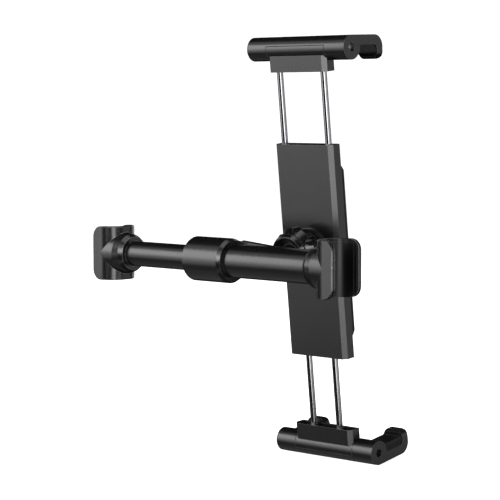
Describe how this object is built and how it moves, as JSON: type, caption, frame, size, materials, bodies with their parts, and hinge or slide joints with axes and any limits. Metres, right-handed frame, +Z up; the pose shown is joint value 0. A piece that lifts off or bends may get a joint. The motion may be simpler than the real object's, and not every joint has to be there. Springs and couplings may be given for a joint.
{
  "type": "headrest tablet holder",
  "caption": "Tablet holder on a telescopic arm with a hook for each headrest post, a ball joint and a clamp whose folding claws slide out on rods.",
  "frame": {"origin": "on the right headrest post's axis, at the arm's height", "axes": "+X along the arm from the left post to the right one, +Y from the arm towards the tablet, +Z up along the posts"},
  "size_m": [0.1792, 0.0877, 0.2299],
  "materials": {
    "moulded_black": "fine satin texture, moulded in black",
    "arm_black": "satin black coated aluminium",
    "rubber_black": "matt black rubber",
    "rod_chrome": "polished chrome",
    "zinc_steel": "zinc plated steel",
    "stem_black": "blackened steel",
    "guide_plastic": "self-lubricating dark grey plastic"
  },
  "bodies": {
    "outer_arm": {"outer_tube": "moulded_black", "collar_snap_ring": "zinc_steel", "arm_collet": "guide_plastic", "right_hook": "moulded_black", "right_hook_liner": "rubber_black", "right_hook_screw": "zinc_steel", "ball_stem": "stem_black"},
    "inner_arm": {"inner_tube": "arm_black", "inner_glide": "guide_plastic", "tube_insert": "zinc_steel", "left_hook": "moulded_black", "left_hook_liner": "rubber_black", "left_hook_screw": "zinc_steel"},
    "collar": {"lock_collar": "moulded_black"},
    "liner": {"ball_seat": "guide_plastic"},
    "socket": {"ball_socket": "moulded_black"},
    "clamp": {"back_cover": "moulded_black", "front_cover": "moulded_black", "front_pad": "rubber_black", "cover_screws": "zinc_steel", "top_guide": "guide_plastic", "centre_guide": "guide_plastic", "bottom_guide": "guide_plastic"},
    "nut": {"lock_nut": "moulded_black"},
    "upper_jaw": {"upper_jaw_block": "moulded_black", "upper_rod_left": "rod_chrome", "upper_rod_right": "rod_chrome", "upper_pivot_screws": "zinc_steel"},
    "upper_claw": {"upper_claw": "moulded_black", "upper_pad_left": "rubber_black", "upper_pad_right": "rubber_black"},
    "lower_jaw": {"lower_jaw_block": "moulded_black", "lower_rod_left": "rod_chrome", "lower_rod_right": "rod_chrome", "lower_pivot_screws": "zinc_steel"},
    "lower_claw": {"lower_claw": "moulded_black", "lower_pad_left": "rubber_black", "lower_pad_right": "rubber_black"}
  },
  "joints": [
    {"name": "arm_extend", "type": "slide", "parent": "outer_arm", "child": "inner_arm", "axis": [-1, 0, 0], "range_m": [-0.043, 0.014]},
    {"name": "collar_turn", "type": "hinge", "parent": "outer_arm", "child": "collar", "pos_m": [-0.0898, 0, 0], "axis": [1, 0, 0], "range_deg": [0, 100]},
    {"name": "ball_tilt", "type": "hinge", "parent": "outer_arm", "child": "liner", "pos_m": [-0.0511, 0.021, 0.0032], "axis": [1, 0, 0], "range_deg": [-20, 10]},
    {"name": "ball_pan", "type": "hinge", "parent": "liner", "child": "socket", "pos_m": [-0.0511, 0.021, 0.0032], "axis": [0, -0.1097, 0.994], "range_deg": [-14, 14]},
    {"name": "clamp_spin", "type": "hinge", "parent": "socket", "child": "clamp", "pos_m": [-0.0511, 0.021, 0.0032], "axis": [0, 0.994, 0.1097], "continuous": true},
    {"name": "nut_turn", "type": "hinge", "parent": "clamp", "child": "nut", "pos_m": [-0.0511, 0.021, 0.0032], "axis": [0, 0.994, 0.1097], "range_deg": [0, 120]},
    {"name": "upper_jaw_slide", "type": "slide", "parent": "clamp", "child": "upper_jaw", "axis": [0, -0.1097, 0.994], "range_m": [-0.038, 0.0025]},
    {"name": "lower_jaw_slide", "type": "slide", "parent": "clamp", "child": "lower_jaw", "axis": [0, 0.1097, -0.994], "range_m": [-0.038, 0.0022]},
    {"name": "upper_claw_fold", "type": "hinge", "parent": "upper_jaw", "child": "upper_claw", "pos_m": [-0.0511, 0.02689, 0.11316], "axis": [-1, 0, 0], "range_deg": [0, 85]},
    {"name": "lower_claw_fold", "type": "hinge", "parent": "lower_jaw", "child": "lower_claw", "pos_m": [-0.0511, 0.05077, -0.10313], "axis": [1, 0, 0], "range_deg": [0, 85]}
  ]
}
